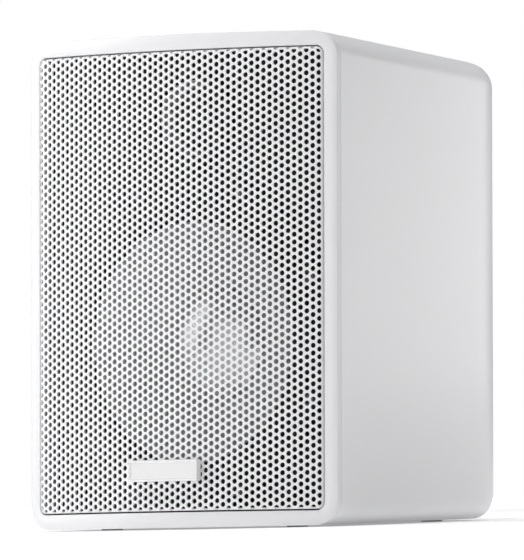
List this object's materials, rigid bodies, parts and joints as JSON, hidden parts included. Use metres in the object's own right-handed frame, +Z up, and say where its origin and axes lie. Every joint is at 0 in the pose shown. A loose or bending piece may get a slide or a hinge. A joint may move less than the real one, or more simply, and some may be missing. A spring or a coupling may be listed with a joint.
{
  "type": "bookshelf speaker",
  "caption": "Compact two-way bookshelf speaker with a bowed perforated grille, a tapered cabinet that leans back, and rear screw terminals.",
  "frame": {"origin": "centre of the bounding box, on the surface the speaker stands on", "axes": "+Z up, +X to the right seen from the front, +Y towards the back"},
  "size_m": [0.1724, 0.1916, 0.227],
  "materials": {
    "lacquer": "white lacquer on moulded plastic",
    "grille_paint": "white powder coat on perforated steel",
    "peg_plastic": "moulded white plastic",
    "badge": "polished",
    "black_plastic": "moulded black ABS",
    "foot_rubber": "soft grey rubber",
    "surround_rubber": "black butyl rubber",
    "black_steel": "black",
    "aluminium": "satin anodised",
    "plated_steel": "zinc plated",
    "ferrite": "sintered ferrite, matt",
    "spider_cloth": "resin-treated cotton",
    "copper": "enamelled copper wire",
    "dome_silk": "coated silk",
    "board": "glass-fibre board with green mask",
    "film": "yellow film capacitor sleeve",
    "ceramic": "ceramic case",
    "lead_sleeve": "black PVC sleeve",
    "brass": "gold-flashed brass",
    "red_plastic": "red moulded plastic",
    "wadding": "polyester wadding"
  },
  "bodies": {
    "cabinet": {"cabinet_shell": "lacquer", "front_frame": "lacquer", "baffle": "black_plastic", "foot_front_left": "foot_rubber", "foot_front_right": "foot_rubber", "foot_rear_left": "foot_rubber", "foot_rear_right": "foot_rubber", "woofer_basket": "black_steel", "woofer_surround": "surround_rubber", "woofer_spider": "spider_cloth", "woofer_top_plate": "plated_steel", "woofer_magnet": "ferrite", "woofer_pole_plate": "plated_steel", "woofer_screw_1": "black_steel", "woofer_screw_2": "black_steel", "woofer_screw_3": "black_steel", "woofer_screw_4": "black_steel", "woofer_screw_5": "black_steel", "woofer_screw_6": "black_steel", "woofer_screw_7": "black_steel", "woofer_screw_8": "black_steel", "tweeter_faceplate": "black_plastic", "tweeter_trim_ring": "aluminium", "tweeter_can": "plated_steel", "tweeter_pole_disc": "plated_steel", "tweeter_magnet": "ferrite", "tweeter_screw_1": "black_steel", "tweeter_screw_2": "black_steel", "tweeter_screw_3": "black_steel", "crossover_board": "board", "woofer_inductor": "copper", "tweeter_inductor": "copper", "tweeter_capacitor": "film", "woofer_capacitor": "black_plastic", "tweeter_resistor": "ceramic", "woofer_lead": "lead_sleeve", "tweeter_lead": "lead_sleeve", "terminal_cup": "black_plastic", "terminal_post_red": "brass", "terminal_post_black": "brass", "port_tube": "black_plastic", "wall_mount_insert": "brass", "damping_wadding": "wadding"},
    "grille": {"grille_sheet": "grille_paint", "badge_plate": "badge", "grille_peg_top_left": "peg_plastic", "grille_peg_top_right": "peg_plastic", "grille_peg_bottom_left": "peg_plastic", "grille_peg_bottom_right": "peg_plastic"},
    "woofer_motion": {"woofer_cone": "aluminium", "woofer_dust_cap": "aluminium", "woofer_former": "aluminium", "woofer_winding": "copper"},
    "tweeter_motion": {"tweeter_dome": "dome_silk", "tweeter_coil": "copper"},
    "washer_red": {"terminal_washer_red": "brass"},
    "cap_red": {"terminal_cap_red": "red_plastic"},
    "washer_black": {"terminal_washer_black": "brass"},
    "cap_black": {"terminal_cap_black": "black_plastic"}
  },
  "joints": [
    {"name": "grille_pull", "type": "slide", "parent": "cabinet", "child": "grille", "axis": [0, -0.9992, 0.04], "range_m": [0, 0.06]},
    {"name": "woofer_travel", "type": "slide", "parent": "cabinet", "child": "woofer_motion", "axis": [0, -0.9992, 0.04], "range_m": [-0.004, 0.004], "stiffness_N_per_m": 1100},
    {"name": "tweeter_travel", "type": "slide", "parent": "cabinet", "child": "tweeter_motion", "axis": [0, -0.9992, 0.04], "range_m": [-0.0004, 0.0004], "stiffness_N_per_m": 3000},
    {"name": "terminal_red_lift", "type": "slide", "parent": "cabinet", "child": "washer_red", "axis": [0, 0.9992, -0.04], "range_m": [0, 0.0021]},
    {"name": "terminal_red_screw", "type": "hinge", "parent": "washer_red", "child": "cap_red", "pos_m": [-0.015, 0.0842, 0.05546], "axis": [0, 0.9992, -0.04], "range_deg": [0, 1080]},
    {"name": "terminal_black_lift", "type": "slide", "parent": "cabinet", "child": "washer_black", "axis": [0, 0.9992, -0.04], "range_m": [0, 0.0021]},
    {"name": "terminal_black_screw", "type": "hinge", "parent": "washer_black", "child": "cap_black", "pos_m": [0.015, 0.0842, 0.05546], "axis": [0, 0.9992, -0.04], "range_deg": [0, 1080]}
  ],
  "couplings": [
    {"joint": "terminal_red_screw", "follows": "terminal_red_lift", "rad_per_m": 8976},
    {"joint": "terminal_black_screw", "follows": "terminal_black_lift", "rad_per_m": 8976}
  ]
}
